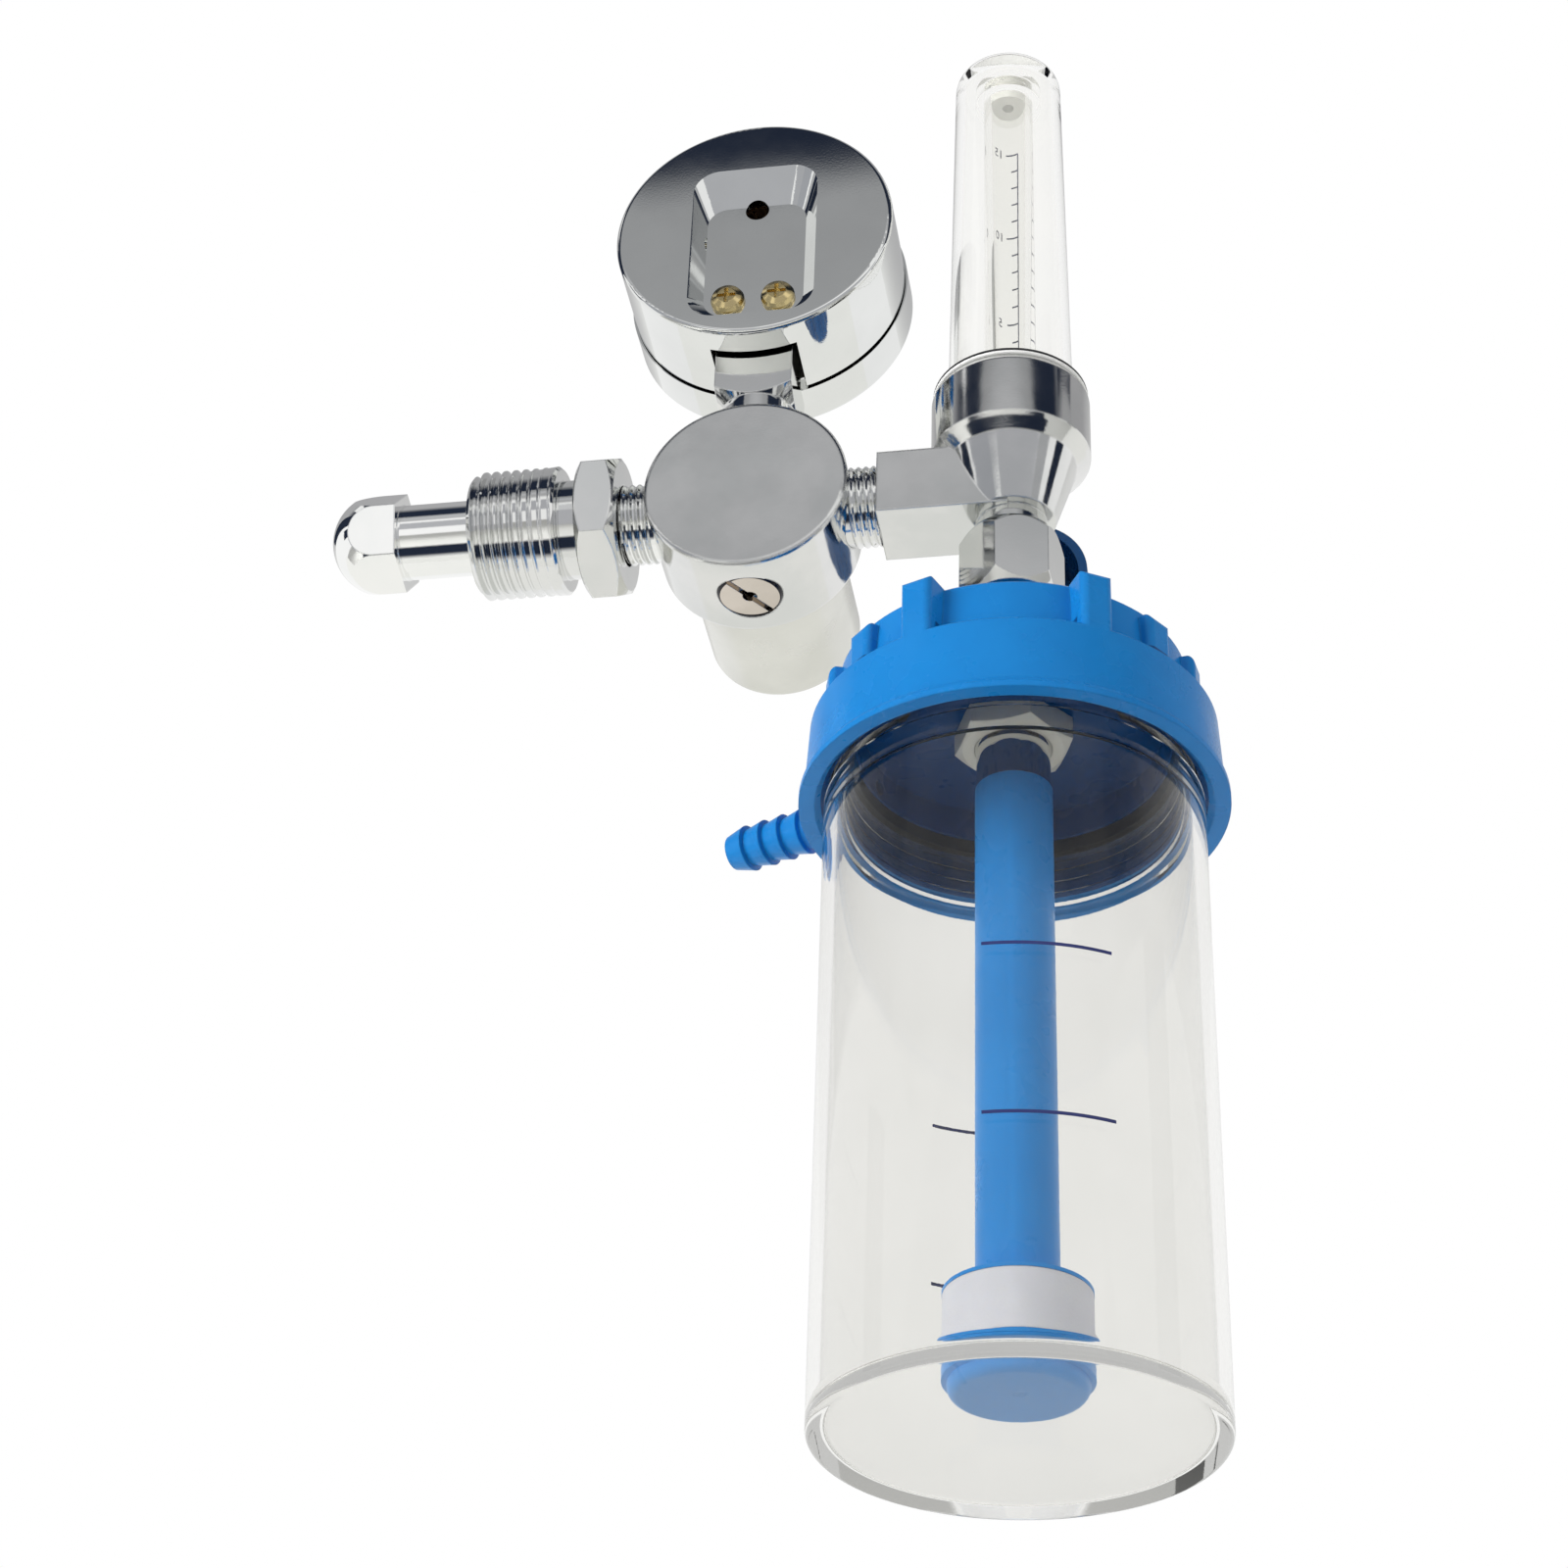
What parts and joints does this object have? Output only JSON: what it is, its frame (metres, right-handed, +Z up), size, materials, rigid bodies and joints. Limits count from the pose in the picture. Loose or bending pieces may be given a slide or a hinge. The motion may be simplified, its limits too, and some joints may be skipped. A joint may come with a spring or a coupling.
{
  "type": "oxygen regulator",
  "caption": "Cylinder oxygen regulator with threaded inlet nut, pressure gauge, preset regulator body, float flowmeter with blue control knob, and a screw-on bubble humidifier bottle.",
  "frame": {"origin": "on the inlet axis, at the middle of the gland nut's thread at rest", "axes": "+X along the inlet towards the flowmeter, +Y towards the side the dial is read from, +Z up along the flow tube and bottle axis"},
  "size_m": [0.1567, 0.0714, 0.2755],
  "materials": {
    "chrome": "bright plated brass",
    "brass": "turned",
    "bronze": "sintered",
    "steel": "ground",
    "blue_plastic": "moulded",
    "white_plastic": "plain",
    "clear_plastic": "clear moulded",
    "rubber": "plain",
    "dial_white": "printed",
    "pointer_black": "matt"
  },
  "bodies": {
    "regulator": {"inlet_nipple": "chrome", "inlet_filter": "bronze", "regulator_body": "chrome", "seat_nozzle": "brass", "spring_guide": "brass", "bonnet": "chrome", "main_spring": "steel", "relief_spring": "steel", "relief_screw": "brass", "gauge_case": "chrome", "gauge_socket": "chrome", "case_screws": "brass", "gauge_bezel": "chrome", "gauge_window": "clear_plastic", "window_ring": "steel", "gauge_dial": "dial_white", "bourdon_tube": "brass", "tube_link": "brass", "gauge_movement": "brass", "flowmeter_body": "chrome", "needle_packing": "white_plastic", "packing_nut": "chrome", "cover_tube": "clear_plastic", "metering_tube": "clear_plastic", "tube_seal": "rubber", "tube_stop": "white_plastic", "humidifier_stem": "chrome", "cap_locknut": "white_plastic", "humidifier_cap": "blue_plastic", "dip_tube": "blue_plastic", "diffuser_head": "blue_plastic", "diffuser_sleeve": "white_plastic", "diffuser_cap": "blue_plastic"},
    "gland_nut": {"gland_nut": "chrome"},
    "piston": {"piston": "brass", "seat_pad": "white_plastic", "piston_ring": "rubber"},
    "relief_poppet": {"relief_poppet": "brass"},
    "sector_gear": {"sector_gear": "brass"},
    "pointer": {"pointer_arbor": "steel", "gauge_pointer": "pointer_black"},
    "needle": {"needle_spindle": "steel"},
    "flow_knob": {"flow_knob": "blue_plastic", "knob_screw": "steel"},
    "float_ball": {"float_ball": "steel"},
    "union_nut": {"union_nut": "chrome"},
    "cap_gasket": {"cap_gasket": "rubber"},
    "bottle": {"bottle": "clear_plastic"}
  },
  "joints": [
    {"name": "gland_nut_slide", "type": "slide", "parent": "regulator", "child": "gland_nut", "axis": [1, 0, 0], "range_m": [-0.0133, 0.0044]},
    {"name": "piston_slide", "type": "slide", "parent": "regulator", "child": "piston", "axis": [0, -1, 0], "range_m": [0, 0.00075], "stiffness_N_per_m": 500, "springref_m": -0.002},
    {"name": "relief_lift", "type": "slide", "parent": "regulator", "child": "relief_poppet", "axis": [0, 0, -1], "range_m": [0, 0.0006], "stiffness_N_per_m": 60, "springref_m": -0.002, "deforming": ["relief_spring"]},
    {"name": "sector_turn", "type": "hinge", "parent": "regulator", "child": "sector_gear", "pos_m": [0.0416, -0.0021, 0.0487], "axis": [0, 1, 0], "range_deg": [0, 45]},
    {"name": "pointer_turn", "type": "hinge", "parent": "regulator", "child": "pointer", "pos_m": [0.0416, 0.003, 0.0572], "axis": [0, -1, 0], "range_deg": [0, 270]},
    {"name": "knob_turn", "type": "hinge", "parent": "needle", "child": "flow_knob", "pos_m": [0.0871, 0.029, 0], "axis": [0, 1, 0], "range_deg": [0, 721]},
    {"name": "needle_slide", "type": "slide", "parent": "regulator", "child": "needle", "axis": [0, 1, 0], "range_m": [0, 0.001]},
    {"name": "float_rise", "type": "slide", "parent": "regulator", "child": "float_ball", "axis": [0, 0, 1], "range_m": [0, 0.068]},
    {"name": "union_turn", "type": "hinge", "parent": "regulator", "child": "union_nut", "pos_m": [0.0871, 0, -0.017], "axis": [0, 0, 1], "continuous": true},
    {"name": "gasket_drop", "type": "slide", "parent": "regulator", "child": "cap_gasket", "axis": [0, 0, -1], "range_m": [0, 0.00801]},
    {"name": "bottle_turn", "type": "hinge", "parent": "cap_gasket", "child": "bottle", "pos_m": [0.0871, 0, -0.06], "axis": [0, 0, -1], "range_deg": [0, 900]}
  ],
  "couplings": [
    {"joint": "pointer_turn", "follows": "sector_turn", "ratio": 6},
    {"joint": "knob_turn", "follows": "needle_slide", "rad_per_m": 12566},
    {"joint": "gasket_drop", "follows": "bottle_turn", "m_per_rad": 0.0005093}
  ]
}
